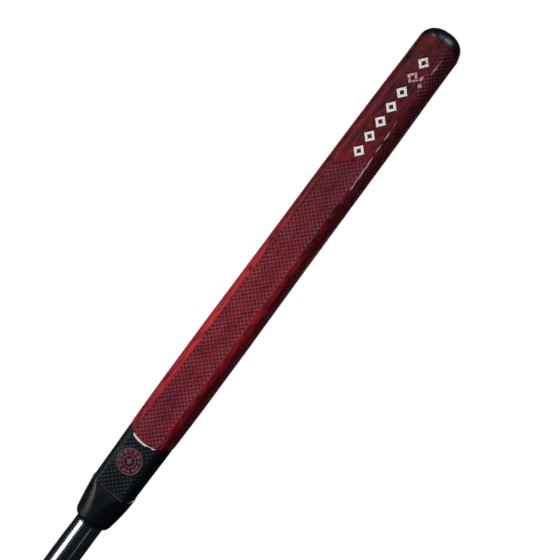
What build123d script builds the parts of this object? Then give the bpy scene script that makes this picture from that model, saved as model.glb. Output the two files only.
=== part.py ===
from build123d import *
from math import cos, radians, sin
import os

# Putter grip on the end of its stepped steel shaft. Millimetres. The origin is the centre of the
# shaft's cut end, +Z runs along the shaft to the grip's butt, and the flat front faces -Y.

# Shaft
SHAFT_STUB = 40.0  # bare shaft below the grip's mouth
SHAFT_TIP_OD = 13.6  # outside diameter of the bare shaft
SHAFT_WALL = 0.55
STEP_RISE = 0.23  # rise in radius at each of the shaft's two steps
STEP_LENGTH = 0.8  # length of the cone that makes a step; the first one ends at the mouth
SECOND_STEP = 55.0  # foot of the second step, above the mouth

# Grip, along the shaft
GRIP_LENGTH = 273.0  # mouth to the top of the cap
COLLAR_LENGTH = 19.2
CAP_HEIGHT = 7.7
CAP_SPIGOT = 4.0  # how far the cap's plug reaches down into the core
WRAP_JOINT = 47.2  # joint of the two wraps at the grip's sides, above the mouth
WRAP_DIP = 2.6  # how much lower the joint lies at the middle of the front

# Cross section of the rubber core
FLAT_HALF_WIDTH = 6.35
SIDE_LENGTH = 3.6  # straight stretch between each rounded corner and the round back
BODY_FLAT = (FLAT_HALF_WIDTH, SIDE_LENGTH)
CORE_FRONT = 9.05  # shaft's axis to the flat front
BULGE_ABOVE_MOUTH = 70.7  # widest place, seen from the front
WAIST_ABOVE_MOUTH = 123.7
RISE_BELOW_BUTT = 89.3  # where the pistol shape starts to swell behind
HEEL_BELOW_BUTT = 37.3  # deepest place of the pistol shape
HEEL_FLAT = (5.0, 2.8)  # flat half width and side length where the front starts to round off
BUTT_FLAT = (1.2, 1.0)  # the same at the cap, where the grip is all but oval
COLLAR_SIZE = (9.0, 9.9)  # core's half width and back depth at the collar
JOINT_SIZE = (9.45, 10.4)
BULGE_SIZE = (9.8, 10.7)
WAIST_SIZE = (9.65, 10.5)
RISE_SIZE = (9.35, 11.5)
HEEL_SIZE = (9.02, 13.9)
BUTT_SIZE = (8.88, 13.1)

# Layers over the shaft and over the core
TAPE_THICKNESS = 0.15
TAPE_ABOVE_MOUTH = 3.0
BACKING_THICKNESS = 0.6
UPPER_SKIN = 1.0
LOWER_SKIN = 0.9
BACKING_LIP = 0.1  # how far the frayed backing stands above the lower wrap in the joint
JOINT_GAP = 0.8  # gap between the wraps at the middle of the front
JOINT_GAP_SIDE = 0.1
SEAM_WIDTH = 0.5  # sealed seam down the back
SEAM_RECESS = 0.15

# Mouth collar
COLLAR_FLANGE = 0.35  # how far its upper rim stands out round the lower wrap
COLLAR_CHAMFER = 0.3
COLLAR_SOCKET_DEPTH = 6.0
COLLAR_SOCKET_RADIUS = 8.3
COLLAR_MOUTH_RADIUS = 8.5
COLLAR_LIP_ROUND = 2.9
COLLAR_MIDDLE_GROWTH = 1.7  # growth in radius half way up the taper
COLLAR_MIDDLE_FLAT = (1.5, 1.2)  # flat half width and side length half way up the taper
COLLAR_FLAT = 0.6  # flat and side at the mouth, where the collar is all but round

# Butt cap
CAP_FLARE = 0.05
DOME_POWER = 0.8  # 1 makes the dome an ellipse; less makes it fuller at the rim
DOME_STEPS = 10
DOME_LAST_ANGLE = 80.0  # degrees; the dome ends in a small flat round the vent
VENT_RADIUS = 1.4

# Badge on the lower wrap
BADGE_RADIUS = 5.95
BADGE_THICKNESS = 0.8
BADGE_STANDS_PROUD = 0.1
BADGE_ABOVE_MOUTH = 34.9

# Column of painted marks on the flat front
MARK_COUNT = 7
MARK_PITCH = 8.0
MARK_WIDTH = 5.6
MARK_LENGTH = 6.2
MARK_STROKE = 1.15
MARK_RECESS = 0.1
MARK_THICKNESS = 0.2
TOP_MARK_BELOW_BUTT = 20.2

# Worked out from the values above
MOUTH_Z = SHAFT_STUB
APEX_Z = MOUTH_Z + GRIP_LENGTH
CAP_SEAM_Z = APEX_Z - CAP_HEIGHT
COLLAR_TOP_Z = MOUTH_Z + COLLAR_LENGTH
SHAFT_TOP_Z = CAP_SEAM_Z - CAP_SPIGOT
UPPER_TOTAL = BACKING_THICKNESS + UPPER_SKIN
LOWER_TOTAL = BACKING_THICKNESS + LOWER_SKIN
STATIONS = [
    (COLLAR_TOP_Z, COLLAR_SIZE, BODY_FLAT),
    (MOUTH_Z + WRAP_JOINT, JOINT_SIZE, BODY_FLAT),
    (MOUTH_Z + BULGE_ABOVE_MOUTH, BULGE_SIZE, BODY_FLAT),
    (MOUTH_Z + WAIST_ABOVE_MOUTH, WAIST_SIZE, BODY_FLAT),
    (APEX_Z - RISE_BELOW_BUTT, RISE_SIZE, BODY_FLAT),
    (APEX_Z - HEEL_BELOW_BUTT, HEEL_SIZE, HEEL_FLAT),
    (CAP_SEAM_Z, BUTT_SIZE, BUTT_FLAT),
]
REACH = 2 * max(BULGE_SIZE + HEEL_SIZE)  # comfortably outside the grip in every direction


def section(height, half_width, front, back, flat, side):
    """One cross section: flat front, elliptical corners, short straight sides, half ellipse behind."""
    corner_x = half_width - flat
    corner_y = front - side
    outline = [
        Line((-flat, -front), (flat, -front)),
        EllipticalCenterArc((flat, -side), corner_x, corner_y, 270, arc_size=90),
        Line((half_width, -side), (half_width, 0)),
        EllipticalCenterArc((0, 0), half_width, back, 0, arc_size=180),
        Line((-half_width, 0), (-half_width, -side)),
        EllipticalCenterArc((-flat, -side), corner_x, corner_y, 180, arc_size=90),
    ]
    return Pos(0, 0, height) * make_face(outline)


def body_section(height, size, flat, grow):
    """A cross section of the grip: the rubber core's outline grown outwards."""
    half_width, back = size
    return section(height, half_width + grow, CORE_FRONT + grow, back + grow, *flat)


def grip_body(grow):
    """The core's outer shape grown outwards, from the collar's top to the cap's seam."""
    return loft([body_section(*station, grow) for station in STATIONS])


def layer(inner, outer):
    """A skin between two growths of the core."""
    return grip_body(outer) - grip_body(inner)


def slab(low, high):
    """Everything between two heights."""
    return Pos(0, 0, (low + high) / 2) * Box(2 * REACH, 2 * REACH, high - low)


def above_joint(gap, gap_side):
    """Everything above the curved joint of the wraps, lowered by a gap at its middle and its sides."""
    side_z = MOUTH_Z + WRAP_JOINT
    span = BULGE_SIZE[0] + UPPER_TOTAL
    dip = (0, side_z - WRAP_DIP - gap)
    left = (-span, side_z - gap_side)
    right = (span, side_z - gap_side)
    edge = ThreePointArc(left, dip, right)
    rest = Polyline(right, (span, APEX_Z), (-span, APEX_Z), left)
    return extrude(Plane.XZ * make_face([edge, rest]), amount=REACH, both=True)


def shaft_envelope(grow, top=SHAFT_TOP_Z):
    """The stepped outside of the shaft grown outwards, from its cut end to a height."""
    feet = [MOUTH_Z - STEP_LENGTH, MOUTH_Z + SECOND_STEP]
    radius = SHAFT_TIP_OD / 2 + grow
    points = [(0, 0), (radius, 0)]
    for foot in feet:
        points.append((radius, foot))
        radius += STEP_RISE
        points.append((radius, foot + STEP_LENGTH))
    points += [(radius, top), (0, top)]
    return revolve(Plane.XZ * make_face(Polyline(points, close=True)), Axis.Z)


def shaft_tube():
    """Thin steel tube with two steps."""
    return shaft_envelope(0) - shaft_envelope(-SHAFT_WALL)


def grip_tape():
    """Double-sided tape between the shaft and the rubber."""
    wrapped = shaft_envelope(TAPE_THICKNESS) - shaft_envelope(0)
    return wrapped & slab(MOUTH_Z + TAPE_ABOVE_MOUTH, SHAFT_TOP_Z)


def core_sleeve():
    """Rubber core, with a round spigot that enters the collar."""
    spigot_middle = Pos(0, 0, COLLAR_TOP_Z - COLLAR_SOCKET_DEPTH / 2)
    spigot = spigot_middle * Cylinder(COLLAR_SOCKET_RADIUS, COLLAR_SOCKET_DEPTH)
    return grip_body(0) + spigot - shaft_envelope(TAPE_THICKNESS, CAP_SEAM_Z)


def mouth_collar():
    """Smooth tapered end of the grip, from a round lip on the shaft to a rim round the wrap."""
    low = COLLAR_MOUTH_RADIUS
    middle = low + COLLAR_MIDDLE_GROWTH
    outside = loft(
        [
            section(MOUTH_Z, low, low, low, COLLAR_FLAT, COLLAR_FLAT),
            section(MOUTH_Z + COLLAR_LENGTH / 2, middle, middle, middle, *COLLAR_MIDDLE_FLAT),
            body_section(COLLAR_TOP_Z, COLLAR_SIZE, BODY_FLAT, LOWER_TOTAL + COLLAR_FLANGE),
        ]
    )
    outside = fillet(outside.edges().group_by(Axis.Z)[0], COLLAR_LIP_ROUND)
    outside = chamfer(outside.faces().sort_by(Axis.Z)[-1].edges(), COLLAR_CHAMFER)
    socket_middle = Pos(0, 0, COLLAR_TOP_Z - COLLAR_SOCKET_DEPTH / 2)
    socket = socket_middle * Cylinder(COLLAR_SOCKET_RADIUS, COLLAR_SOCKET_DEPTH)
    taped = shaft_envelope(TAPE_THICKNESS) & slab(MOUTH_Z + TAPE_ABOVE_MOUTH, SHAFT_TOP_Z)
    return outside - socket - taped - shaft_envelope(0)


def butt_cap():
    """Domed cap with a plug that closes the core and a vent hole through both."""
    grow = UPPER_TOTAL + CAP_FLARE
    half_width, back = BUTT_SIZE
    sizes = (half_width + grow, CORE_FRONT + grow, back + grow, *BUTT_FLAT)
    sections = []
    for step in range(DOME_STEPS + 1):
        angle = radians(DOME_LAST_ANGLE * step / DOME_STEPS)
        share = cos(angle) ** DOME_POWER
        height = CAP_SEAM_Z + CAP_HEIGHT * sin(angle)
        sections.append(section(height, *[share * size for size in sizes]))
    plug = shaft_envelope(TAPE_THICKNESS, CAP_SEAM_Z) & slab(SHAFT_TOP_Z, CAP_SEAM_Z)
    vent = Pos(0, 0, CAP_SEAM_Z) * Cylinder(VENT_RADIUS, 4 * CAP_HEIGHT)
    return loft(sections) + plug - vent


def seam_slot(inner, outer):
    """The strip at the middle of the back where the edges of a wrap meet."""
    strip = Pos(0, REACH / 2, 0) * Box(SEAM_WIDTH, REACH, 4 * GRIP_LENGTH)
    return layer(inner, outer) & strip


def mark_outline():
    """One mark: a hollow diamond, drawn about its own centre."""
    half_width = MARK_WIDTH / 2
    half_length = MARK_LENGTH / 2
    outer = Polyline((half_width, 0), (0, half_length), (-half_width, 0), (0, -half_length), close=True)
    side = (half_width**2 + half_length**2) ** 0.5
    inset = MARK_STROKE * side / (half_width * half_length)
    inner = scale(outer, 1 - inset)
    return make_face(outer) - make_face(inner)


def front_plane(depth_y, height):
    """A drawing plane that faces the front, at a height on the shaft's axis."""
    return Plane(origin=(0, depth_y, height), x_dir=(1, 0, 0), z_dir=(0, -1, 0))


def front_marks(recess, thickness):
    """The column of marks let into the flat front, each as thick as stated under its recess."""
    marks = []
    floor_y = -(CORE_FRONT + UPPER_TOTAL) + recess + thickness
    for index in range(MARK_COUNT):
        plane = front_plane(floor_y, APEX_Z - TOP_MARK_BELOW_BUTT - index * MARK_PITCH)
        marks.append(extrude(plane * mark_outline(), amount=thickness))
    return marks


def upper_wrap():
    """Long marbled skin of the grip, with the marks pressed into its front."""
    skin = layer(BACKING_THICKNESS, UPPER_TOTAL) & above_joint(0, 0)
    skin -= seam_slot(BACKING_THICKNESS, UPPER_TOTAL)
    for pocket in front_marks(0, MARK_RECESS + MARK_THICKNESS):
        skin -= pocket
    return skin


def upper_backing():
    """Felt behind the upper wrap, with a frayed lip that shows in the joint."""
    felt = layer(0, BACKING_THICKNESS) & above_joint(0, 0)
    lip_front = Pos(0, -REACH / 2, MOUTH_Z + WRAP_JOINT) * Box(2 * FLAT_HALF_WIDTH, REACH, REACH)
    lip = layer(0, LOWER_TOTAL + BACKING_LIP) & above_joint(JOINT_GAP, JOINT_GAP_SIDE) & lip_front
    return felt + (lip - above_joint(0, 0))


def lower_wrap():
    """Dark skin between the collar and the joint, with a pocket for the badge."""
    skin = layer(BACKING_THICKNESS, LOWER_TOTAL) - above_joint(JOINT_GAP, JOINT_GAP_SIDE)
    skin -= seam_slot(BACKING_THICKNESS, LOWER_TOTAL)
    return skin - badge_disc()


def lower_backing():
    """Felt behind the lower wrap."""
    return layer(0, BACKING_THICKNESS) - above_joint(JOINT_GAP, JOINT_GAP_SIDE)


def back_seam():
    """Sealing strip that fills the wraps' seam to just under their surface."""
    upper = seam_slot(BACKING_THICKNESS, UPPER_TOTAL - SEAM_RECESS)
    lower = seam_slot(BACKING_THICKNESS, LOWER_TOTAL - SEAM_RECESS)
    return [upper & above_joint(0, 0), lower - above_joint(JOINT_GAP, JOINT_GAP_SIDE)]


def badge_disc():
    """Round badge let into the lower wrap's flat front."""
    back_y = -(CORE_FRONT + LOWER_TOTAL + BADGE_STANDS_PROUD) + BADGE_THICKNESS
    plane = front_plane(back_y, MOUTH_Z + BADGE_ABOVE_MOUTH)
    return extrude(plane * Circle(BADGE_RADIUS), amount=BADGE_THICKNESS)


def save(name, *shapes):
    """Write one node, with every solid that belongs to it."""
    solids = [solid for shape in shapes for solid in shape.solids()]
    export_step(Compound(children=solids) if len(solids) > 1 else solids[0], f"parts/{name}.step")


os.makedirs("parts", exist_ok=True)
save("shaft_tube", shaft_tube())
save("grip_tape", grip_tape())
save("core_sleeve", core_sleeve())
save("mouth_collar", mouth_collar())
save("butt_cap", butt_cap())
save("upper_wrap", upper_wrap())
save("upper_backing", upper_backing())
save("lower_wrap", lower_wrap())
save("lower_backing", lower_backing())
save("back_seam", *back_seam())
save("badge_disc", badge_disc())
save("front_marks", *front_marks(MARK_RECESS, MARK_THICKNESS))
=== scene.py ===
from math import cos, pi, radians, sin

import bmesh
import bpy
import numpy as np
from mathutils import Matrix, Vector, noise
from mathutils.bvhtree import BVHTree


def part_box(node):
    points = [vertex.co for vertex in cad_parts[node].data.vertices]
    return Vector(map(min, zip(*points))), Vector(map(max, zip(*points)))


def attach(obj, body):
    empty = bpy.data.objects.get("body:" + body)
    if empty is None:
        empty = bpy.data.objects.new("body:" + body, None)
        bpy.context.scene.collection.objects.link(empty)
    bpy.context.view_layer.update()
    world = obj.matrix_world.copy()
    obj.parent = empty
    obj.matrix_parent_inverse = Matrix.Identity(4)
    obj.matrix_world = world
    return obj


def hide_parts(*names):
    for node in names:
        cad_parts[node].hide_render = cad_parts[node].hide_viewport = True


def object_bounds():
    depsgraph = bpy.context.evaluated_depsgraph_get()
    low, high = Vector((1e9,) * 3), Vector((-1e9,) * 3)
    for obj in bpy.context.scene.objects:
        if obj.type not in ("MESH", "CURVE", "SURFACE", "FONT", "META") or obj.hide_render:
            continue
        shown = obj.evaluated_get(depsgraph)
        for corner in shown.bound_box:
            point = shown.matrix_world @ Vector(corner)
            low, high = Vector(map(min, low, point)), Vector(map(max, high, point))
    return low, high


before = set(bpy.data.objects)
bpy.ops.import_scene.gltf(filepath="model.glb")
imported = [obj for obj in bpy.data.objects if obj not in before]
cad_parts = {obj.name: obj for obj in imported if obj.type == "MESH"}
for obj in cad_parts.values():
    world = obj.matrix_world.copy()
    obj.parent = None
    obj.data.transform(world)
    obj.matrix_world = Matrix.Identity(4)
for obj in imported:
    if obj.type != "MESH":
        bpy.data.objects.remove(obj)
cad_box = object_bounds()
MM = 0.001

# ---------------------------------------------------------------- sizes

# Flat layout of the wraps: u runs round the grip from the middle of the front, z up the shaft.
FLAT_HALF = 6.35 * MM  # half width of the flat front
SIDE = 3.6 * MM  # straight stretch at each side, in front of the shaft's axis
# Towards the butt the front rounds off: depth below the top of the cap, and the same two sizes there.
ROUNDING = (
    (89.3 * MM, FLAT_HALF, SIDE),
    (37.3 * MM, 5.0 * MM, 2.8 * MM),
    (7.7 * MM, 1.2 * MM, 1.0 * MM),
)
STRIP = 4.4 * MM  # smooth border between the knurled front and the knurled back
SEAM_HALF = 0.25 * MM  # half the width of the seam down the back
SKIN = 0.55 * MM  # thickness given to the wraps' pieces and the felt
PROBE_CLEAR = 0.2 * MM  # the wraps are measured from this far inside their ends

KNURL_PITCH = 1.65 * MM  # from one raised line to the next, measured across the lines
KNURL_ROWS = 4  # mesh rows to a pitch
KNURL_DEPTH = 0.27 * MM  # from a raised line to the bottom of a pit
KNURL_CLEAR = 0.6 * MM  # the knurl fades out over this much at an edge of the wrap
KNURL_SOFT = 0.4 * MM  # and over this much at its other borders
JOINT_OVERLAP = 1.5 * MM  # how far above the backing's own joint the skins meet
JOINT_DIP = 3.2 * MM  # how much lower the skins' joint lies at the middle of the front
CURVED_TOP = 3.8 * MM  # the lower wrap's curved top end, which isn't measured
PANEL_TOP_BELOW_MARKS = 2.4 * MM  # where the knurled panel ends, under the painted marks
PANEL_SLANT = 0.88  # the panel's top edge climbs this much for each unit to the right
PANEL_SLANT_END = 3.5 * MM  # and is level from here to the right
RIGHT_FOOT = 20 * MM  # the knurl at the right of the marks starts this far below them
RIGHT_TURN = 17 * MM  # this far below the column's top its border swings in towards the marks
RIGHT_TURN_HALF = 4 * MM  # half the length of that swing
RIGHT_BORDERS = (8.2 * MM, 3.3 * MM)  # how far right its border lies, under and over the swing
LEFT_WIDER = 4.5 * MM  # how much wider the smooth strip is at the left, beside the marks
RIGHT_NARROWER = 0.4 * MM  # and how much narrower at the right

MARKS = 7  # hollow diamonds in the column on the front
MARK_HALF_LENGTH = 3.1 * MM
MARK_STROKE = 1.15 * MM  # width of the painted outline
MARK_PRESS = 0.35 * MM  # how deep the skin is pressed in under and round the marks
MARK_SLOPE = (0.15 * MM, 0.5 * MM)  # it comes back up between these distances from the paint


def finished(name, bm, material):
    """Make a smooth object of a bmesh, in place, riding on the grip."""
    mesh = bpy.data.meshes.new(name)
    bm.to_mesh(mesh)
    bm.free()
    mesh.shade_smooth()
    mesh.materials.append(material)
    piece = bpy.data.objects.new(name, mesh)
    bpy.context.scene.collection.objects.link(piece)
    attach(piece, "root")
    return piece


# ---------------------------------------------------------------- materials

# The sockets of a Mix node that mixes colours: three inputs and its output.
SHARE, UNDER, OVER, MIXED = 0, 6, 7, 2


def srgb(text):
    """A hex colour as linear red, green, blue and full alpha."""
    parts = [int(text[i : i + 2], 16) / 255 for i in (1, 3, 5)]
    linear = [p / 12.92 if p <= 0.04045 else ((p + 0.055) / 1.055) ** 2.4 for p in parts]
    return (*linear, 1.0)


def wire(tree, node, inputs):
    """Set a node's inputs, each to a value or from another node's output."""
    for key, value in inputs.items():
        if isinstance(value, bpy.types.NodeSocket):
            tree.links.new(value, node.inputs[key])
        else:
            node.inputs[key].default_value = value


def add(tree, kind, inputs, out=0, stops=(), **settings):
    """Add a node with its settings, its inputs and a ramp's stops, and give back one of its outputs."""
    node = tree.nodes.new(kind)
    for key, value in settings.items():
        setattr(node, key, value)
    wire(tree, node, inputs)
    for index, (at, colour) in enumerate(stops):
        elements = node.color_ramp.elements
        element = elements[index] if index < len(elements) else elements.new(at)
        element.position = at
        element.color = srgb(colour) if isinstance(colour, str) else (colour, colour, colour, 1)
    return node.outputs[out]


def new_material(name):
    """A material with its tree and its shader."""
    material = bpy.data.materials.new(name)
    material.use_nodes = True
    tree = material.node_tree
    return material, tree, tree.nodes["Principled BSDF"]


def pressed_skin(tree, shader, place, pour, line, pit_shade_colour, gloss):
    """Finish shared by both wraps: rubbed lines, pits painted darker as shade, scuffs and a painted pale
    sheen of reflection, and a fine pore grain.
    """
    pit, knurled, wear_and_sheen = (add(tree, "ShaderNodeAttribute", {}, "Fac", attribute_name=key)
                          for key in ("pit", "knurled", "wear_and_sheen"))
    # hands rub the tops of the raised lines unevenly, in patches about 9 mm across
    patches = add(tree, "ShaderNodeTexNoise", {"Vector": place, "Scale": 1 / (9 * MM), "Detail": 3.0})
    rubbing = add(tree, "ShaderNodeValToRGB", {"Fac": patches}, stops=((0.35, 0.45), (0.65, 1.0)))
    # the middle of the front is rubbed less than its corners, which carry the grip of the thumbs
    across = add(tree, "ShaderNodeSeparateXYZ", {"Vector": place}, "X")
    beside = add(tree, "ShaderNodeMath", {0: across}, operation="ABSOLUTE")
    corners = add(tree, "ShaderNodeMapRange", {"Value": beside, "From Min": 0.5 * MM, "From Max": 6.5 * MM,
                                               "To Min": 0.55, "To Max": 1.1})
    rubbing = add(tree, "ShaderNodeMath", {0: rubbing, 1: corners}, operation="MULTIPLY")
    rubbed = add(tree, "ShaderNodeMath", {0: rubbing, 1: knurled}, operation="MULTIPLY", use_clamp=True)
    raised = add(tree, "ShaderNodeMix", {SHARE: rubbed, UNDER: pour, OVER: line}, MIXED, data_type="RGBA")
    # the pits, and the pressed band round the marks, take a darker colour than the skin: painted shade
    pit_shade = add(tree, "ShaderNodeValToRGB", {"Fac": pit}, stops=((0.05, 0.0), (0.75, 0.92)))
    colour = add(tree, "ShaderNodeMix", {SHARE: pit_shade, UNDER: raised, OVER: pit_shade_colour}, MIXED,
                 data_type="RGBA")
    # scuffs: pale crumbs of torn skin about 0.9 mm across and 3 mm long; the same pale colour paints a sheen
    # of reflection along the right edge
    torn = add(tree, "ShaderNodeMapping", {"Vector": place, "Scale": (1, 1, 0.3)})
    crumbs = add(tree, "ShaderNodeTexNoise", {"Vector": torn, "Scale": 1 / (0.9 * MM), "Detail": 4.0})
    scuff_and_sheen = add(tree, "ShaderNodeMath", {0: crumbs, 1: wear_and_sheen, 2: wear_and_sheen}, operation="MULTIPLY_ADD")
    scuff_and_sheen_share = add(tree, "ShaderNodeValToRGB", {"Fac": scuff_and_sheen}, stops=((0.70, 0.0), (1.0, 0.9)))
    colour = add(tree, "ShaderNodeMix", {SHARE: scuff_and_sheen_share, UNDER: colour, OVER: srgb("#cfb0ac")}, MIXED,
                 data_type="RGBA")
    # pores and fine creases of the cast skin, drawn at 0.35 mm so that they show
    grain = add(tree, "ShaderNodeTexNoise", {"Vector": place, "Scale": 1 / (0.35 * MM), "Detail": 3.0})
    bump = add(tree, "ShaderNodeBump", {"Height": grain, "Strength": 0.35, "Distance": 0.04 * MM})
    sheen = add(tree, "ShaderNodeValToRGB", {"Fac": patches}, stops=((0.3, gloss[0]), (0.7, gloss[1])))
    wire(tree, shader, {"Base Color": colour, "Roughness": sheen, "Normal": bump})


def marbled_polyurethane():
    """Soft polyurethane skin, poured in crimson and smoke and drawn out along the grip."""
    material, tree, shader = new_material("marbled_polyurethane")
    place = add(tree, "ShaderNodeTexCoord", {}, "Object")
    drawn = add(tree, "ShaderNodeMapping", {"Vector": place, "Scale": (1, 1, 0.20)})
    # smoky swirls about 4 mm across and 20 mm long
    smoke = add(tree, "ShaderNodeTexNoise", {"Vector": drawn, "Scale": 1 / (4.0 * MM), "Detail": 7.0,
                                             "Roughness": 0.62, "Distortion": 1.8})
    # bright threads and blobs about 1.5 mm across
    curdled = add(tree, "ShaderNodeMapping", {"Vector": place, "Scale": (1, 1, 0.38)})
    thread = add(tree, "ShaderNodeTexNoise", {"Vector": curdled, "Scale": 1 / (1.5 * MM), "Detail": 5.0,
                                              "Roughness": 0.65, "Distortion": 0.9})
    pour = add(tree, "ShaderNodeValToRGB", {"Fac": smoke}, stops=(
        (0.34, "#1f0b10"), (0.42, "#500e18"), (0.50, "#841521"), (0.58, "#a81f2e"), (0.68, "#cc3439")))
    vivid = add(tree, "ShaderNodeValToRGB", {"Fac": thread}, stops=((0.48, 0.0), (0.60, 0.6)))
    colour = add(tree, "ShaderNodeMix", {SHARE: vivid, UNDER: pour, OVER: srgb("#bb2234")}, MIXED,
                 data_type="RGBA")
    murk = add(tree, "ShaderNodeValToRGB", {"Fac": thread}, stops=((0.34, 0.65), (0.45, 0.0)))
    colour = add(tree, "ShaderNodeMix", {SHARE: murk, UNDER: colour, OVER: srgb("#2c1016")}, MIXED,
                 data_type="RGBA")
    # the brightest of the pour ran together along the left front corner
    across = add(tree, "ShaderNodeSeparateXYZ", {"Vector": place}, "X")
    lean = add(tree, "ShaderNodeMapRange", {"Value": across, "From Min": -6.3 * MM, "From Max": -8.3 * MM})
    run = add(tree, "ShaderNodeValToRGB", {"Fac": smoke}, stops=((0.42, 0.0), (0.52, 0.85)))
    low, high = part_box("upper_wrap")[0].z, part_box("upper_wrap")[1].z
    height = add(tree, "ShaderNodeSeparateXYZ", {"Vector": place}, "Z")
    upness = add(tree, "ShaderNodeMapRange", {"Value": height, "From Min": low, "From Max": high})
    fading = add(tree, "ShaderNodeValToRGB", {"Fac": upness}, stops=(
        (0.0, 0.10), (0.12, 0.55), (0.24, 0.92), (0.36, 1.0), (0.52, 0.45), (0.72, 0.05)))
    left_run = add(tree, "ShaderNodeMath", {0: lean, 1: run}, operation="MULTIPLY")
    left_run = add(tree, "ShaderNodeMath", {0: left_run, 1: fading}, operation="MULTIPLY")
    colour = add(tree, "ShaderNodeMix", {SHARE: left_run, UNDER: colour, OVER: srgb("#d03236")}, MIXED,
                 data_type="RGBA")
    # the upper half, where the hands hold it, has darkened with use, and so has the end at the joint
    soil = add(tree, "ShaderNodeValToRGB", {"Fac": upness}, stops=(
        (0.0, "#ccc0d0"), (0.10, "#f2ecf4"), (0.20, "#ffffff"), (0.40, "#ffffff"),
        (0.60, 0.60), (0.82, 0.38), (0.95, 0.30)))
    soiled_lines = add(tree, "ShaderNodeValToRGB", {"Fac": upness}, stops=(
        (0.45, 1.0), (0.66, 0.70), (0.95, 0.62)))
    colour = add(tree, "ShaderNodeMix", {SHARE: 1.0, UNDER: colour, OVER: soil}, MIXED,
                 data_type="RGBA", blend_type="MULTIPLY")
    # the pits' colour, darker than the pour, is painted shade
    pits = add(tree, "ShaderNodeMix", {SHARE: 1.0, UNDER: srgb("#500412"), OVER: soiled_lines}, MIXED,
               data_type="RGBA", blend_type="MULTIPLY")
    pits = add(tree, "ShaderNodeMix", {SHARE: 0.30, UNDER: pits, OVER: colour}, MIXED, data_type="RGBA")
    lines = add(tree, "ShaderNodeMix", {SHARE: 1.0, UNDER: srgb("#a8485a"), OVER: soiled_lines}, MIXED,
                data_type="RGBA", blend_type="MULTIPLY")
    pressed_skin(tree, shader, place, colour, lines, pits, (0.48, 0.62))
    wire(tree, shader, {"IOR": 1.47, "Specular IOR Level": 0.25})
    return material


def black_polyurethane():
    """The same skin without colour: near black, with a cold bloom on its raised lines."""
    material, tree, shader = new_material("black_polyurethane")
    place = add(tree, "ShaderNodeTexCoord", {}, "Object")
    cloud = add(tree, "ShaderNodeTexNoise", {"Vector": place, "Scale": 1 / (6 * MM), "Detail": 4.0})
    pour = add(tree, "ShaderNodeValToRGB", {"Fac": cloud}, stops=((0.35, "#0a0f14"), (0.65, "#121920")))
    # the darker pit colour here is painted shade
    pressed_skin(tree, shader, place, pour, srgb("#1d272f"), srgb("#05070a"), (0.40, 0.52))
    wire(tree, shader, {"IOR": 1.47, "Specular IOR Level": 0.28})
    return material


def moulded_rubber(name, dark, light, roughness, gloss):
    """Smooth moulded rubber with a faint bloom in clouds of about 4 mm."""
    material, tree, shader = new_material(name)
    place = add(tree, "ShaderNodeTexCoord", {}, "Object")
    cloud = add(tree, "ShaderNodeTexNoise", {"Vector": place, "Scale": 1 / (4 * MM), "Detail": 5.0})
    colour = add(tree, "ShaderNodeValToRGB", {"Fac": cloud}, stops=((0.35, dark), (0.7, light)))
    sheen = add(tree, "ShaderNodeValToRGB", {"Fac": cloud}, stops=(
        (0.35, roughness[0]), (0.7, roughness[1])))
    # the mould's own fine grain, drawn at 0.5 mm so that it shows
    grain = add(tree, "ShaderNodeTexNoise", {"Vector": place, "Scale": 1 / (0.5 * MM), "Detail": 3.0})
    bump = add(tree, "ShaderNodeBump", {"Height": grain, "Strength": 0.15, "Distance": 0.03 * MM})
    wire(tree, shader, {"Base Color": colour, "Roughness": sheen, "Normal": bump,
                        "IOR": 1.5, "Specular IOR Level": gloss})
    return material


def foamed_rubber():
    """Foamed rubber of the core: matt dark grey, full of open cells of about 0.6 mm."""
    material, tree, shader = new_material("foamed_rubber")
    place = add(tree, "ShaderNodeTexCoord", {}, "Object")
    cells = add(tree, "ShaderNodeTexVoronoi", {"Vector": place, "Scale": 1 / (0.6 * MM)}, "Distance")
    colour = add(tree, "ShaderNodeValToRGB", {"Fac": cells}, stops=((0.1, "#15161a"), (0.7, "#2e2f34")))
    bump = add(tree, "ShaderNodeBump", {"Height": cells, "Strength": 0.6, "Distance": 0.1 * MM})
    wire(tree, shader, {"Base Color": colour, "Normal": bump, "Roughness": 0.9, "IOR": 1.5})
    return material


def paper_tape():
    """Double-sided paper tape on the shaft: buff crepe with creases about 0.8 mm apart across it."""
    material, tree, shader = new_material("crepe_paper_tape")
    place = add(tree, "ShaderNodeTexCoord", {}, "Object")
    creased = add(tree, "ShaderNodeMapping", {"Vector": place, "Scale": (0.25, 0.25, 1)})
    crepe = add(tree, "ShaderNodeTexNoise", {"Vector": creased, "Scale": 1 / (0.8 * MM), "Detail": 4.0})
    colour = add(tree, "ShaderNodeValToRGB", {"Fac": crepe}, stops=((0.3, "#b59c72"), (0.7, "#dcc79c")))
    bump = add(tree, "ShaderNodeBump", {"Height": crepe, "Strength": 0.4, "Distance": 0.05 * MM})
    wire(tree, shader, {"Base Color": colour, "Normal": bump, "Roughness": 0.8})
    return material


def chromed_steel():
    """Chrome plate on drawn steel tube: nearly a mirror, with faint lengthwise rubbing."""
    material, tree, shader = new_material("chromed_steel")
    place = add(tree, "ShaderNodeTexCoord", {}, "Object")
    rubbed = add(tree, "ShaderNodeMapping", {"Vector": place, "Scale": (1, 1, 0.03)})
    lines = add(tree, "ShaderNodeTexNoise", {"Vector": rubbed, "Scale": 1 / (0.6 * MM), "Detail": 3.0})
    sheen = add(tree, "ShaderNodeValToRGB", {"Fac": lines}, stops=((0.3, 0.17), (0.8, 0.26)))
    # a thin film of dust and fingermarks, in blots of about 5 mm
    film = add(tree, "ShaderNodeTexNoise", {"Vector": place, "Scale": 1 / (5 * MM), "Detail": 6.0})
    colour = add(tree, "ShaderNodeValToRGB", {"Fac": film}, stops=((0.4, "#c6cacd"), (0.7, "#a9adb1")))
    wire(tree, shader, {"Base Color": colour, "Roughness": sheen, "Metallic": 1.0})
    return material


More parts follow.
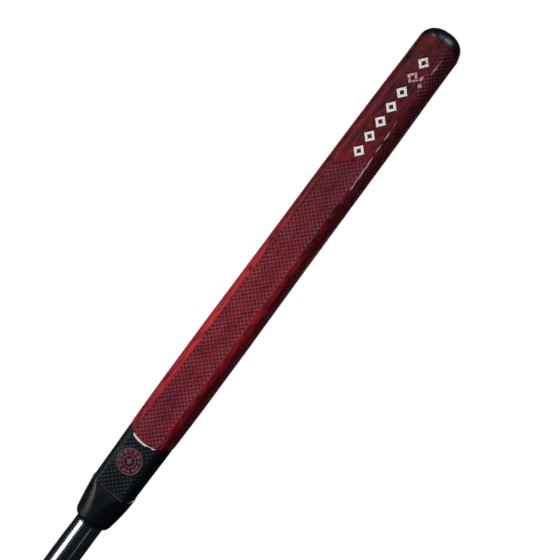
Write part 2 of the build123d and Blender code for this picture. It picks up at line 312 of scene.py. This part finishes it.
def white_paint():
    """Paint pressed into the marks; the marks under the upper hand are rubbed down to a pink haze."""
    material, tree, shader = new_material("white_paint")
    place = add(tree, "ShaderNodeTexCoord", {}, "Object")
    height = add(tree, "ShaderNodeSeparateXYZ", {"Vector": place}, "Z")
    low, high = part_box("front_marks")[0].z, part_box("front_marks")[1].z
    upness = add(tree, "ShaderNodeMapRange", {"Value": height, "From Min": low, "From Max": high})
    rubbed = add(tree, "ShaderNodeValToRGB", {"Fac": upness}, stops=(
        (0.66, 0.0), (0.74, 0.30), (0.86, 0.34), (0.90, 0.18)))
    # bare spots about 1 mm across
    spots = add(tree, "ShaderNodeTexNoise", {"Vector": place, "Scale": 1 / (1.1 * MM), "Detail": 4.0})
    loss = add(tree, "ShaderNodeMath", {0: spots, 1: rubbed}, operation="ADD")
    colour = add(tree, "ShaderNodeValToRGB", {"Fac": loss}, stops=(
        (0.60, "#ffffff"), (0.74, "#e6c4c8"), (0.92, "#8a4048")))
    bump = add(tree, "ShaderNodeBump", {"Height": spots, "Strength": 0.3, "Distance": 0.03 * MM})
    wire(tree, shader, {"Base Color": colour, "Normal": bump, "Roughness": 0.5, "IOR": 1.5})
    return material


def pale_felt():
    """Needled polyester felt that backs the wrap: a soft matt white fuzz of fibres about 0.25 mm apart."""
    material, tree, shader = new_material("needled_felt")
    place = add(tree, "ShaderNodeTexCoord", {}, "Object")
    fibre = add(tree, "ShaderNodeTexNoise", {"Vector": place, "Scale": 1 / (0.25 * MM), "Detail": 4.0})
    colour = add(tree, "ShaderNodeValToRGB", {"Fac": fibre}, stops=((0.3, "#ece6e4"), (0.6, "#ffffff")))
    bump = add(tree, "ShaderNodeBump", {"Height": fibre, "Strength": 0.7, "Distance": 0.1 * MM})
    wire(tree, shader, {"Base Color": colour, "Normal": bump, "Roughness": 0.95})
    return material


def enamelled_badge():
    """Cast zinc badge: warm grey ridges, with crimson and black enamel run into the hollows."""
    material, tree, shader = new_material("enamelled_badge")
    place = add(tree, "ShaderNodeTexCoord", {}, "Object")
    enamel = add(tree, "ShaderNodeAttribute", {}, "Fac", attribute_name="enamel")
    cloud = add(tree, "ShaderNodeTexNoise", {"Vector": place, "Scale": 1 / (2.5 * MM), "Detail": 4.0})
    metal = add(tree, "ShaderNodeValToRGB", {"Fac": cloud}, stops=((0.35, "#6a5058"), (0.65, "#86666e")))
    glaze = add(tree, "ShaderNodeValToRGB", {"Fac": cloud}, stops=((0.35, "#4a1022"), (0.65, "#741b33")))
    crimson = add(tree, "ShaderNodeValToRGB", {"Fac": enamel}, stops=((0.15, 0.0), (0.35, 1.0)))
    sooty = add(tree, "ShaderNodeValToRGB", {"Fac": enamel}, stops=((0.65, 0.0), (0.85, 1.0)))
    colour = add(tree, "ShaderNodeMix", {SHARE: crimson, UNDER: metal, OVER: glaze}, MIXED,
                 data_type="RGBA")
    colour = add(tree, "ShaderNodeMix", {SHARE: sooty, UNDER: colour, OVER: srgb("#14161a")}, MIXED,
                 data_type="RGBA")
    sheen = add(tree, "ShaderNodeValToRGB", {"Fac": cloud}, stops=((0.3, 0.30), (0.7, 0.45)))
    wire(tree, shader, {"Base Color": colour, "Roughness": sheen, "IOR": 1.5})
    return material


# ---------------------------------------------------------------- the wraps' shape

class Skin:
    """The outer surface of a wrap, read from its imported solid, as a map from (u, z) to the object."""

    LEVEL_STEP = 2 * MM  # from one measured section to the next
    CORNER_POINTS = 40
    BACK_POINTS = 90
    FAR = 60 * MM  # where the probing rays start
    SIDE_PROBE = 0.5 * MM  # in front of the shaft's axis, where the sides are straight
    BACK_PROBE = 1 * MM  # beside the axis, clear of the seam
    SLOPE_SPAN = 0.15 * MM  # each way along the outline, to find which way it faces

    def __init__(self, node, low, high):
        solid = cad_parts[node]
        tree = BVHTree.FromObject(solid, bpy.context.evaluated_depsgraph_get())
        self.front = -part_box(node)[0].y
        count = int((high - low) / self.LEVEL_STEP)
        self.levels = np.linspace(low, high, count)
        self.tables = [self.outline(z, *self.measure(tree, z)) for z in self.levels]
        self.half_round = np.array([table[0][-1] for table in self.tables])

    def measure(self, tree, z):
        """Half width and back depth at a height, by probing the solid from outside."""
        side_hit = tree.ray_cast(Vector((self.FAR, -self.SIDE_PROBE, z)), Vector((-1, 0, 0)))[0]
        back_hit = tree.ray_cast(Vector((self.BACK_PROBE, self.FAR, z)), Vector((0, -1, 0)))[0]
        half_width = side_hit.x
        # the back is half an ellipse, so its middle is a little deeper than where the ray met it
        return half_width, back_hit.y / (1 - (self.BACK_PROBE / half_width) ** 2) ** 0.5

    def outline(self, z, half_width, back):
        """Arc length, x and y along one half of the cross section, from the front to the back."""
        depths, flats, sides = zip(*reversed(ROUNDING))
        depth = cad_box[1].z - z
        flat = np.interp(depth, depths, flats)
        side = np.interp(depth, depths, sides)
        corner = np.linspace(0, pi / 2, self.CORNER_POINTS)
        behind = np.linspace(0, pi / 2, self.BACK_POINTS)
        x = np.concatenate([[0], flat + (half_width - flat) * np.sin(corner), half_width * np.cos(behind)])
        corner_y = -side - (self.front - side) * np.cos(corner)
        y = np.concatenate([[-self.front], corner_y, back * np.sin(behind)])
        along = np.concatenate([[0], np.cumsum(np.hypot(np.diff(x), np.diff(y)))])
        return along, x, y

    def place(self, u, z, lift):
        """Points at arc length u from the middle of the front, height z, lifted off the surface."""
        step = self.levels[1] - self.levels[0]
        index = np.clip((z - self.levels[0]) / step, 0, len(self.levels) - 1.0001)
        below = index.astype(int)
        share = index - below
        spot = np.zeros((2, len(u)))
        normal = np.zeros((2, len(u)))
        for level in np.unique(below):
            mine = below == level
            for offset, weight in ((0, 1 - share[mine]), (1, share[mine])):
                along, x, y = self.tables[level + offset]
                reach = np.abs(u[mine])
                px, py = np.interp(reach, along, x), np.interp(reach, along, y)
                # the outward normal is the outline's direction turned a quarter
                ahead, behind = reach + self.SLOPE_SPAN, reach - self.SLOPE_SPAN
                tx = np.interp(ahead, along, x) - np.interp(behind, along, x)
                ty = np.interp(ahead, along, y) - np.interp(behind, along, y)
                spot[:, mine] += weight * np.array([px, py])
                normal[:, mine] += weight * np.array([ty, -tx])
        normal /= np.linalg.norm(normal, axis=0)
        spot += normal * lift
        return np.stack([np.sign(u) * spot[0], spot[1], z], axis=1)


def turned_lattice(u_low, u_high, z_low, z_high):
    """A rectangle cut from a sheet of small squares turned 45 degrees, with lines where the knurl's are."""
    cell = KNURL_PITCH / KNURL_ROWS
    reach = (u_high - u_low) + (z_high - z_low)
    half_count = int(reach / 2**0.5 / cell / 2) + 2
    bm = bmesh.new()
    bmesh.ops.create_grid(bm, x_segments=2 * half_count, y_segments=2 * half_count, size=half_count * cell)
    bmesh.ops.rotate(bm, verts=bm.verts, matrix=Matrix.Rotation(pi / 4, 3, "Z"))
    diagonal = KNURL_PITCH * 2**0.5
    middle = Vector(((u_low + u_high) / 2, (z_low + z_high) / 2, 0))
    snapped = Vector((round(middle.x / diagonal) * diagonal, round(middle.y / diagonal) * diagonal, 0))
    bmesh.ops.translate(bm, verts=bm.verts, vec=snapped)
    for point, outward in (
        ((u_low, 0, 0), (-1, 0, 0)),
        ((u_high, 0, 0), (1, 0, 0)),
        ((0, z_low, 0), (0, -1, 0)),
        ((0, z_high, 0), (0, 1, 0)),
    ):
        everything = bm.verts[:] + bm.edges[:] + bm.faces[:]
        bmesh.ops.bisect_plane(bm, geom=everything, dist=cell / 100, plane_co=point, plane_no=outward,
                               clear_outer=True)
    return bm


def smoothstep(value, low, high):
    """0 below low, 1 above high and a soft step between them."""
    share = np.clip((value - low) / (high - low), 0, 1)
    return share * share * (3 - 2 * share)


def knurl_lines(u, z):
    """1 on the raised lines of the knurl, 0 in its pits."""
    half_line = KNURL_PITCH / KNURL_ROWS
    nearest = np.full(len(u), KNURL_PITCH)
    for across in ((u + z) / 2**0.5, (u - z) / 2**0.5):
        off_line = np.abs(across - np.round(across / KNURL_PITCH) * KNURL_PITCH)
        nearest = np.minimum(nearest, off_line)
    return np.clip(1 - nearest / half_line, 0, 1)


def joint_height(u, centre_z, side_z):
    """Height of the curved joint of the wraps at arc length u: lowest at the middle of the front."""
    span = FLAT_HALF + STRIP
    return centre_z + (side_z - centre_z) * (np.minimum(np.abs(u), span) / span) ** 2


def wrap_piece(name, skin, sheet, knurl_mask, material, node,
               bottom=None, top=None, fit=None, press=None, wear_and_sheen_map=None):
    """Shape a flat sheet to the grip, press the knurl into it and give it a thickness.

    The knurl, the joint's edges and the rest are functions of arc length and height: knurl_mask is 1
    where the skin is knurled, fit eases the arc length, press is 1 where the skin is pressed in, a band
    that is also painted dark as shade, and the last is 1 at scuffs and where a pale sheen of reflection is
    painted.
    """
    trim_sheet(sheet, bottom, top)
    mesh = bpy.data.meshes.new(name)
    sheet.to_mesh(mesh)
    sheet.free()
    flat = np.zeros(len(mesh.vertices) * 3)
    mesh.vertices.foreach_get("co", flat)
    u, z = flat.reshape(-1, 3)[:, 0], flat.reshape(-1, 3)[:, 1]
    knurled = knurl_mask(u, z)
    pit = knurled * (1 - knurl_lines(u, z))
    pressed = press(u, z) if press else np.zeros(len(u))
    wear_and_sheen = wear_and_sheen_map(u, z) if wear_and_sheen_map else np.zeros(len(u))
    around = fit(u, z) if fit else u
    depth = np.maximum(KNURL_DEPTH * pit, MARK_PRESS * pressed)
    shaped = skin.place(around, z, -depth)
    mesh.vertices.foreach_set("co", shaped.ravel())
    # the pressed band round the marks is stored with the pits, so it is painted dark like them, as shade
    for key, values in (("pit", np.maximum(pit, pressed)), ("knurled", knurled), ("wear_and_sheen", wear_and_sheen)):
        mesh.attributes.new(key, "FLOAT", "POINT").data.foreach_set("value", values.astype(np.float32))
    bm = bmesh.new()
    bm.from_mesh(mesh)
    bpy.data.meshes.remove(mesh)
    bmesh.ops.recalc_face_normals(bm, faces=bm.faces)
    outward = bm.faces[0].calc_center_median()
    outward.z = 0
    if bm.faces[0].normal.dot(outward) < 0:
        bmesh.ops.reverse_faces(bm, faces=bm.faces)
    bmesh.ops.solidify(bm, geom=bm.faces, thickness=SKIN)
    piece = finished(name, bm, material)
    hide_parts(node)


def trim_sheet(bm, bottom, top):
    """Cut a flat sheet along curved lower and upper edges."""
    for edge, sign in ((bottom, 1), (top, -1)):
        if edge is None:
            continue
        limit = {v: float(edge(np.array([v.co.x]))[0]) for v in bm.verts}
        outside = [f for f in bm.faces if all(sign * (v.co.y - limit[v]) < 0 for v in f.verts)]
        bmesh.ops.delete(bm, geom=outside, context="FACES")
        for v in bm.verts:
            if sign * (v.co.y - limit[v]) < 0:
                v.co.y = limit[v]


# ---------------------------------------------------------------- pieces

upper_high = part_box("upper_wrap")[1]
lower_low, lower_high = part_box("lower_wrap")
marks_low, marks_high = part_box("front_marks")
badge_low, badge_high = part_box("badge_disc")
collar_low, collar_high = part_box("mouth_collar")
side_z = lower_high.z + JOINT_OVERLAP
centre_z = side_z - JOINT_DIP
strip_edge = FLAT_HALF + STRIP

red = marbled_polyurethane()
black = black_polyurethane()
felt = pale_felt()

upper_skin = Skin("upper_wrap", lower_high.z + PROBE_CLEAR, upper_high.z - PROBE_CLEAR)
lower_skin = Skin("lower_wrap", lower_low.z + PROBE_CLEAR, lower_high.z - CURVED_TOP)


def upper_joint(u):
    """The lower edge of the upper wrap."""
    return joint_height(u, centre_z, side_z)


def lower_joint(u):
    """The upper edge of the lower wrap, which leaves room for the felt at the front."""
    return joint_height(u, centre_z - 0.8 * MM, side_z - 0.1 * MM)


def marks_pressed(u, z):
    """1 in the band round each hollow diamond, where the skin is pressed in under its paint; the band is
    painted dark too, as shade.
    """
    half_width = (marks_high.x - marks_low.x) / 2
    side = (half_width**2 + MARK_HALF_LENGTH**2) ** 0.5
    pitch = (marks_high.z - marks_low.z - 2 * MARK_HALF_LENGTH) / (MARKS - 1)
    pressed = np.zeros(len(u))
    for index in range(MARKS):
        middle = marks_high.z - MARK_HALF_LENGTH - index * pitch
        spread = np.abs(u) / half_width + np.abs(z - middle) / MARK_HALF_LENGTH - 1
        from_outline = spread * half_width * MARK_HALF_LENGTH / side
        from_band = np.abs(from_outline + MARK_STROKE / 2) - MARK_STROKE / 2
        pressed = np.maximum(pressed, 1 - smoothstep(from_band, *MARK_SLOPE))
    return pressed


def below_cap(z):
    """1 on the wrap, fading to 0 just under the cap, whose rim needs a smooth seat."""
    return 1 - smoothstep(z, upper_high.z - 2 * KNURL_CLEAR, upper_high.z - KNURL_CLEAR)


def front_knurl(u, z):
    """The front: a knurled panel below the marks, and knurl at the right of the marks."""
    inside = 1 - smoothstep(np.abs(u), FLAT_HALF - KNURL_SOFT / 2, FLAT_HALF + KNURL_SOFT / 2)
    panel_top = marks_low.z - PANEL_TOP_BELOW_MARKS + PANEL_SLANT * np.minimum(u, PANEL_SLANT_END)
    panel = inside * (1 - smoothstep(z, panel_top - KNURL_SOFT, panel_top))
    # the right edge is knurled from the cap down past the marks, and near the cap the knurl reaches them
    turn = marks_high.z - RIGHT_TURN
    border = np.interp(z, [turn - RIGHT_TURN_HALF, turn + RIGHT_TURN_HALF], RIGHT_BORDERS)
    foot = marks_low.z - RIGHT_FOOT
    right = smoothstep(z, foot, foot + 1 * MM) * below_cap(z) * smoothstep(u, border, border + KNURL_SOFT)
    edge = upper_joint(u)
    return np.maximum(panel, right) * smoothstep(z, edge, edge + KNURL_CLEAR)


def back_knurl(u, z):
    """The sides and back: knurled from the cap to the joint, up to the smooth strips and the seam."""
    wider = np.where(u < 0, LEFT_WIDER * smoothstep(z, marks_low.z, marks_low.z + 8 * MM), -RIGHT_NARROWER)
    wider = np.where((u > 0) & (z < marks_low.z - RIGHT_FOOT), 0, wider)
    border = strip_edge + wider + 0.1 * MM
    past_strip = smoothstep(np.abs(u), border, border + KNURL_SOFT)
    return past_strip * smoothstep(z, side_z, side_z + KNURL_CLEAR) * below_cap(z)


def blot(u, z, at_u, at_z, wide, high):
    """A soft oval spot, for scuffs and for the painted sheen on the right edge."""
    return np.exp(-(((u - at_u) / wide) ** 2) - ((z - at_z) / high) ** 2)


def front_wear(u, z):
    """Scuffs: a long rubbed line beside the marks, a torn spot by the second mark, haze near the cap."""
    # the line leans in towards the marks on its way up, and wavers by 0.1 mm
    foot = marks_low.z - 18 * MM
    line_u = np.interp(z, [foot, foot + 40 * MM], [7.6 * MM, 6.0 * MM])
    line_u += 0.10 * MM * (np.sin(z / (2.9 * MM)) + np.sin(z / (0.83 * MM)))
    # about 0.8 mm wide, it is broken into dashes, and is faint beside the upper marks
    line = np.exp(-(((u - line_u) / (0.42 * MM)) ** 2))
    line *= 0.85 + 0.2 * np.sin(z / (1.1 * MM)) + 0.2 * np.sin(z / (4.1 * MM))
    line *= smoothstep(z, foot, foot + 6 * MM)
    line *= 1 - 0.8 * smoothstep(z, foot + 30 * MM, foot + 48 * MM)
    torn = blot(u, z, 3.4 * MM, marks_high.z - 9.5 * MM, 0.8 * MM, 1.6 * MM)
    torn += blot(u, z, 4.6 * MM, marks_high.z - 12.5 * MM, 1.1 * MM, 1.2 * MM)
    haze = 0.5 * blot(u, z, 5.6 * MM, marks_high.z - 1 * MM, 1.6 * MM, 7 * MM)
    return np.clip(line + torn + haze, 0, 1)


def right_edge_sheen(u, z):
    """A painted reflection: the pale sheen along the outer edge half way down the right side."""
    middle = marks_low.z - 45 * MM
    return 0.75 * blot(u, z, 17.5 * MM, middle, 2.5 * MM, 30 * MM)


def side_fit(skin):
    """Ease the sheet's outer part so that its edge lands beside the seam at every height."""
    widest = skin.half_round.max()

    def fit(u, z):
        half_round = np.interp(z, skin.levels, skin.half_round) - SEAM_HALF
        past = np.maximum(np.abs(u) - strip_edge, 0) / (widest - strip_edge)
        return np.sign(u) * (np.minimum(np.abs(u), strip_edge) + past * (half_round - strip_edge))

    return fit


def build_upper_wrap():
    """The long marbled skin, in three sheets: the front with its marks, and each side with half the back."""
    sheet = turned_lattice(-strip_edge, strip_edge, centre_z - 1 * MM, upper_high.z)
    # a finer mesh under the marks keeps their pressed edges crisp
    near_u = (marks_high.x - marks_low.x) / 2 + 0.8 * MM
    near_low, near_high = marks_low.z - 1 * MM, marks_high.z + 1 * MM
    near = [e for e in sheet.edges
            if all(abs(v.co.x) < near_u and near_low < v.co.y < near_high for v in e.verts)]
    bmesh.ops.subdivide_edges(sheet, edges=near, cuts=1, use_grid_fill=True)
    wrap_piece("upper_wrap_front", upper_skin, sheet, front_knurl, red, "upper_wrap", bottom=upper_joint,
               press=marks_pressed, wear_and_sheen_map=front_wear)
    widest = upper_skin.half_round.max()
    for name, sign in (("left", -1), ("right", 1)):
        ends = sorted((sign * strip_edge, sign * widest))
        sheet = turned_lattice(*ends, side_z, upper_high.z)
        # the right sheet also carries the painted pale sheen of a reflection on its outer edge
        wrap_piece(f"upper_wrap_{name}", upper_skin, sheet, back_knurl, red, "upper_wrap",
                   fit=side_fit(upper_skin), wear_and_sheen_map=right_edge_sheen if sign > 0 else None)


def lower_knurl(u, z):
    """The whole lower wrap, up to its ends and to a smooth ring round the badge."""
    radius = (badge_high.z - badge_low.z) / 2
    from_badge = np.hypot(u, z - (badge_low.z + badge_high.z) / 2)
    clear = smoothstep(from_badge, radius + 0.3 * MM, radius + 0.8 * MM)
    above_collar = smoothstep(z, lower_low.z, lower_low.z + KNURL_SOFT)
    edge = lower_joint(u)
    return clear * above_collar * (1 - smoothstep(z, edge - KNURL_CLEAR, edge))


def build_lower_wrap():
    """The short black skin, in one sheet that meets itself at the back."""
    widest = lower_skin.half_round.max()
    sheet = turned_lattice(-widest, widest, lower_low.z, side_z)
    wrap_piece("lower_wrap_skin", lower_skin, sheet, lower_knurl, black, "lower_wrap", top=lower_joint,
               fit=side_fit(lower_skin))


def build_felt_lip():
    """The frayed edge of the felt, showing white in the joint at the front."""
    # arc length and width of the lip: wide from the left to the middle, then a thread, then a last tuft
    lip = ((-6.2, 0.25), (-5.5, 0.95), (1.2, 0.95), (2.6, 0.35), (4.0, 0.30), (5.2, 0.70), (6.0, 0.45),
           (6.2, 0.1))
    at, wide = np.array(lip).T * MM
    under_wrap = 0.1 * MM  # tucked in under the upper wrap's edge
    tuft = 0.45 * MM  # from one tuft of the frayed edge to the next
    lump = 0.3 * MM  # size of the lumps on the felt's face
    bm = bmesh.new()
    bmesh.ops.create_grid(bm, x_segments=110, y_segments=5, size=1)
    shares = np.array([v.co[:] for v in bm.verts])
    u = shares[:, 0] * at.max()
    fray = np.array([noise.noise(Vector((value / tuft, 0, 0))) for value in u])
    width = np.interp(u, at, wide) + under_wrap + 0.22 * MM * fray
    z = upper_joint(u) + under_wrap + (shares[:, 1] - 1) / 2 * width
    lumps = np.array([noise.noise(Vector((a / lump, b / lump, 5))) for a, b in zip(u, z)])
    for vert, place in zip(bm.verts, lower_skin.place(u, z, 0.04 * MM + 0.06 * MM * lumps)):
        vert.co = place
    bmesh.ops.recalc_face_normals(bm, faces=bm.faces)
    if bm.faces[0].normal.y > 0:
        bmesh.ops.reverse_faces(bm, faces=bm.faces)
    bmesh.ops.solidify(bm, geom=bm.faces, thickness=SKIN)
    piece = finished("felt_lip", bm, felt)
    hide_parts("upper_backing")


def build_badge():
    """A round badge: raised rim, twelve-petalled ring and a lozenge in the middle."""
    radius = (badge_high.x - badge_low.x) / 2
    petals, rib_height = 12, 0.08 * MM
    ring = (0.36, 0.86)  # the scalloped ring's edges, as shares of the radius
    field = 0.33  # and the black field's, round the lozenge
    lozenge_half, lozenge_height = (1.75 * MM, 2.0 * MM), 0.18 * MM
    # from the rim to the middle: share of the radius, height from the disc's face in mm, and finish
    metal, crimson, sooty = 0, 0.5, 1
    profile = (
        (1.0, -0.55, sooty), (1.0, -0.05, sooty), (0.985, 0.0, metal), (0.94, 0.0, metal),
        (0.915, -0.12, sooty), (0.87, -0.14, sooty), (0.85, -0.05, crimson), (0.82, 0.0, crimson),
        (0.77, 0.0, crimson), (0.73, -0.04, crimson), (0.68, -0.06, crimson), (0.63, -0.05, crimson),
        (0.58, -0.12, sooty), (0.53, -0.12, sooty), (0.50, -0.03, crimson), (0.45, 0.0, crimson),
        (0.40, -0.04, crimson), (0.36, -0.16, sooty), (0.28, -0.2, sooty), (0.20, -0.2, sooty),
        (0.10, -0.2, sooty), (0.0, -0.2, sooty),
    )
    bm = bmesh.new()
    enamel = bm.verts.layers.float.new("enamel")
    edge = []
    for share, height, finish in profile:
        vert = bm.verts.new((share * radius, 0, height * MM))
        vert[enamel] = finish
        edge.append(vert)
    edges = [bm.edges.new(pair) for pair in zip(edge, edge[1:])]
    bmesh.ops.spin(bm, geom=edge + edges, cent=(0, 0, 0), axis=(0, 0, 1), angle=2 * pi, steps=144,
                   use_merge=True)
    bmesh.ops.remove_doubles(bm, verts=bm.verts, dist=0.001 * MM)
    # the ring is scalloped: metal ribs run between hollows of enamel
    for vert in bm.verts:
        share = Vector(vert.co[:2]).length / radius
        turn = np.arctan2(vert.co.y, vert.co.x)
        if ring[0] < share < ring[1] and vert[enamel] < sooty:
            rib = max(0.0, cos(petals * turn)) ** 2
            vert[enamel] *= 1 - rib
            vert.co.z += rib_height * (rib - 0.5)
        # a raised metal lozenge stands in the middle
        if share < field:
            lozenge = abs(vert.co.x) / lozenge_half[0] + abs(vert.co.y) / lozenge_half[1]
            raised = float(1 - smoothstep(lozenge, 0.75, 1.0))
            vert.co.z += lozenge_height * raised
            vert[enamel] = 1 - raised
    bmesh.ops.rotate(bm, verts=bm.verts, matrix=Matrix.Rotation(pi / 2, 3, "X"))
    middle = Vector(((badge_low.x + badge_high.x) / 2, badge_low.y, (badge_low.z + badge_high.z) / 2))
    bmesh.ops.translate(bm, verts=bm.verts, vec=middle)
    rim = [e for e in bm.edges if e.is_boundary]
    bmesh.ops.contextual_create(bm, geom=rim)
    bmesh.ops.recalc_face_normals(bm, faces=bm.faces)
    piece = finished("medallion", bm, enamelled_badge())
    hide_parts("badge_disc")


def build_bead(material):
    """The thin bead round the collar's upper rim, where the lower wrap ends."""
    radius = 0.36 * MM
    below_rim = 0.35 * MM
    stands_out = 0.06 * MM  # of its centre line, from the wrap's surface
    half_round = lower_skin.half_round[0]
    u = np.linspace(-half_round, half_round, 120, endpoint=False)
    points = lower_skin.place(u, np.full(len(u), collar_high.z - below_rim), stands_out)
    data = bpy.data.curves.new("bead_line", "CURVE")
    data.dimensions = "3D"
    data.bevel_depth = radius
    data.bevel_resolution = 3
    spline = data.splines.new("POLY")
    spline.points.add(len(points) - 1)
    for target, place in zip(spline.points, points):
        target.co = (*place, 1)
    spline.use_cyclic_u = True
    holder = bpy.data.objects.new("bead_line", data)
    bpy.context.scene.collection.objects.link(holder)
    mesh = bpy.data.meshes.new_from_object(holder)
    bpy.data.objects.remove(holder)
    bm = bmesh.new()
    bm.from_mesh(mesh)
    bmesh.ops.recalc_face_normals(bm, faces=bm.faces)
    piece = finished("collar_bead", bm, material)


build_upper_wrap()
build_lower_wrap()
build_felt_lip()
build_badge()


def give(node, material):
    """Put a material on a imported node."""
    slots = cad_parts[node].data.materials
    slots.clear()
    slots.append(material)


collar_rubber = moulded_rubber("moulded_rubber", "#04080c", "#090f14", (0.26, 0.34), 1.0)
cap_plastic = moulded_rubber("gloss_rubber", "#090b11", "#12151d", (0.30, 0.40), 0.6)
give("mouth_collar", collar_rubber)
build_bead(collar_rubber)
give("butt_cap", cap_plastic)
give("shaft_tube", chromed_steel())
give("front_marks", white_paint())
give("lower_backing", felt)
give("back_seam", black)
give("core_sleeve", foamed_rubber())
give("grip_tape", paper_tape())

# ---------------------------------------------------------------- camera

CAMERA_DISTANCE = 318 * MM  # from the shaft's axis
CAMERA_AZIMUTH = radians(8.5)  # how far the camera stands to the right of the flat front
CAMERA_LEAN = radians(36.43)  # how far the grip leans to the right in the view
FRAME_AT_AXIS = 254.8 * MM  # height of the view at the axis's distance
AIM_ABOVE_MOUTH = 138.4 * MM  # the point in the middle of the view
AIM_BESIDE_AXIS = 4.3 * MM  # and how far it lies to the right of the shaft's axis
SENSOR = 36.0  # mm


def make_camera():
    data = bpy.data.cameras.new("camera")
    data.sensor_width = SENSOR
    data.lens = SENSOR * CAMERA_DISTANCE / FRAME_AT_AXIS
    data.clip_start = 0.01
    camera = bpy.data.objects.new("camera", data)
    bpy.context.scene.collection.objects.link(camera)
    back = Vector((sin(CAMERA_AZIMUTH), -cos(CAMERA_AZIMUTH), 0))
    upright = Vector((0, 0, 1))
    right = upright.cross(back)
    target = Vector((0, 0, collar_low.z + AIM_ABOVE_MOUTH)) + AIM_BESIDE_AXIS * right
    place = target + CAMERA_DISTANCE * back
    stand = Matrix((right, upright, back)).transposed()
    roll = Matrix.Rotation(CAMERA_LEAN, 3, "Z")
    camera.matrix_world = Matrix.Translation(place) @ (stand @ roll).to_4x4()
    bpy.context.scene.camera = camera


make_camera()

# ---------------------------------------------------------------- studio

def softbox(name, degrees, distance, width, height, power, rise=0.0):
    """A soft light in metres and watts; its angle is measured round the grip from the front, to the right."""
    angle = radians(degrees)
    data = bpy.data.lights.new(name, "AREA")
    data.shape = "RECTANGLE"
    data.size = width
    data.size_y = height
    data.energy = power
    light = bpy.data.objects.new(name, data)
    bpy.context.scene.collection.objects.link(light)
    middle = Vector((0, 0, (cad_box[0].z + cad_box[1].z) / 2))
    outward = Vector((sin(angle), -cos(angle), rise))
    light.location = middle + distance * outward
    light.rotation_euler = outward.to_track_quat("Z", "Y").to_euler()


# The key stands at the left; its tall reflection makes the bright line down the shaft and the collar.
softbox("key", -45, 0.60, 0.26, 1.1, 3.4)
# A large soft light high over the front, where the smooth front doesn't mirror it at the camera.
softbox("high_fill", 18, 0.85, 0.8, 0.6, 6.0, rise=1.3)
# A weak thin strip at the right gives the edge of the cap and the right border a faint gloss.
softbox("edge", 49, 0.60, 0.03, 0.9, 0.05)
# Light from behind keeps the back readable and draws the left outline.
softbox("rim", -150, 0.70, 0.30, 0.9, 1.4)
softbox("back", 180, 0.80, 0.60, 0.9, 4.5, rise=0.2)

# The surroundings are white to the eye but nearly black and cold in the gloss of the chrome and rubber.
world = bpy.data.worlds.new("studio")
world.use_nodes = True
world_tree = world.node_tree
seen = add(world_tree, "ShaderNodeLightPath", {}, "Is Camera Ray")
tone = add(world_tree, "ShaderNodeMix", {SHARE: seen, UNDER: srgb("#161b22"), OVER: srgb("#ffffff")}, MIXED,
           data_type="RGBA")
wire(world_tree, world_tree.nodes["Background"], {"Color": tone})
bpy.context.scene.world = world
bpy.context.scene.view_settings.view_transform = "Standard"


def make_floor():
    """A pale floor that the camera sees and that throws no light back."""
    bm = bmesh.new()
    bmesh.ops.create_grid(bm, x_segments=1, y_segments=1, size=3.0)
    bmesh.ops.translate(bm, verts=bm.verts, vec=(0, 0, cad_box[0].z - 1 * MM))
    mesh = bpy.data.meshes.new("floor")
    bm.to_mesh(mesh)
    bm.free()
    floor = bpy.data.objects.new("floor", mesh)
    bpy.context.scene.collection.objects.link(floor)
    material, tree, shader = new_material("white_paper")
    wire(tree, shader, {"Base Color": srgb("#000000"), "Emission Color": srgb("#ffffff"),
                        "Emission Strength": 1.0, "Roughness": 1.0, "Specular IOR Level": 0.0})
    mesh.materials.append(material)
    floor.visible_diffuse = False
    floor.visible_glossy = False
    floor.visible_shadow = False


make_floor()
